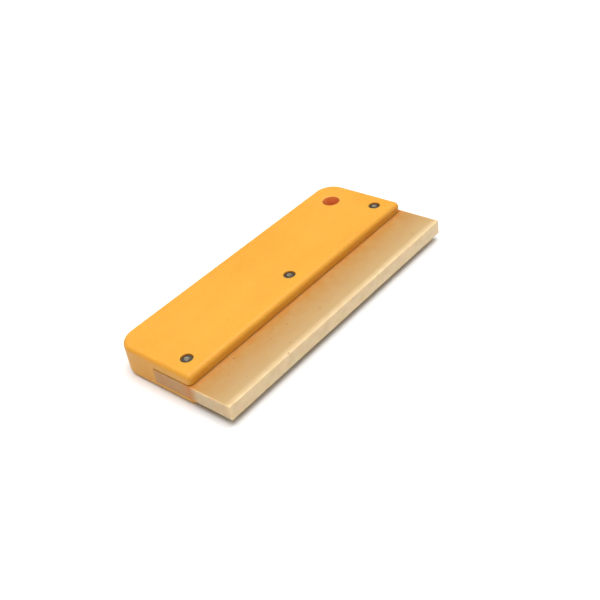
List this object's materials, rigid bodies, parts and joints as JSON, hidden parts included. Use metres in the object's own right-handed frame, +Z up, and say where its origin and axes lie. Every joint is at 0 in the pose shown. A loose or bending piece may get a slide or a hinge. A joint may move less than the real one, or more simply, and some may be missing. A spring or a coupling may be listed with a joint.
{
  "type": "squeegee applicator",
  "caption": "Flat hand squeegee for pressing down vinyl film: a moulded plastic handle with a hang hole clamps a thick, replaceable urethane blade between two jaws with socket screws.",
  "frame": {"origin": "bottom centre of the whole object, lying on its lower jaw", "axes": "+X along the handle, +Y from the blade towards the back of the handle, +Z up"},
  "size_m": [0.201, 0.09, 0.0207],
  "materials": {
    "yellow_plastic": "satin moulded, warm yellow",
    "amber_urethane": "translucent cast polyurethane, honey tan",
    "black_steel": "black oxide, worn bright in the socket",
    "zinc_steel": "zinc plated"
  },
  "bodies": {
    "handle": {"handle_body": "yellow_plastic", "sleeve_nut_left": "zinc_steel", "sleeve_nut_middle": "zinc_steel", "sleeve_nut_right": "zinc_steel"},
    "blade": {"blade": "amber_urethane"},
    "washer_left": {"screw_washer_left": "zinc_steel"},
    "washer_middle": {"screw_washer_middle": "zinc_steel"},
    "washer_right": {"screw_washer_right": "zinc_steel"},
    "screw_left": {"clamp_screw_left": "black_steel"},
    "screw_middle": {"clamp_screw_middle": "black_steel"},
    "screw_right": {"clamp_screw_right": "black_steel"}
  },
  "joints": [
    {"name": "blade_slide", "type": "slide", "parent": "handle", "child": "blade", "axis": [0, -1, 0], "range_m": [0, 0.03]},
    {"name": "screw_rise_left", "type": "slide", "parent": "handle", "child": "washer_left", "axis": [0, 0, 1], "range_m": [0, 0.0014]},
    {"name": "screw_turn_left", "type": "hinge", "parent": "washer_left", "child": "screw_left", "pos_m": [-0.0885, -0.0035, 0.0173], "axis": [0, 0, 1], "range_deg": [0, 720]},
    {"name": "screw_rise_middle", "type": "slide", "parent": "handle", "child": "washer_middle", "axis": [0, 0, 1], "range_m": [0, 0.0014]},
    {"name": "screw_turn_middle", "type": "hinge", "parent": "washer_middle", "child": "screw_middle", "pos_m": [0, -0.0035, 0.0173], "axis": [0, 0, 1], "range_deg": [0, 720]},
    {"name": "screw_rise_right", "type": "slide", "parent": "handle", "child": "washer_right", "axis": [0, 0, 1], "range_m": [0, 0.0014]},
    {"name": "screw_turn_right", "type": "hinge", "parent": "washer_right", "child": "screw_right", "pos_m": [0.0885, -0.0035, 0.0173], "axis": [0, 0, 1], "range_deg": [0, 720]}
  ],
  "couplings": [
    {"joint": "screw_turn_left", "follows": "screw_rise_left", "rad_per_m": 8975.9},
    {"joint": "screw_turn_middle", "follows": "screw_rise_middle", "rad_per_m": 8975.9},
    {"joint": "screw_turn_right", "follows": "screw_rise_right", "rad_per_m": 8975.9}
  ]
}
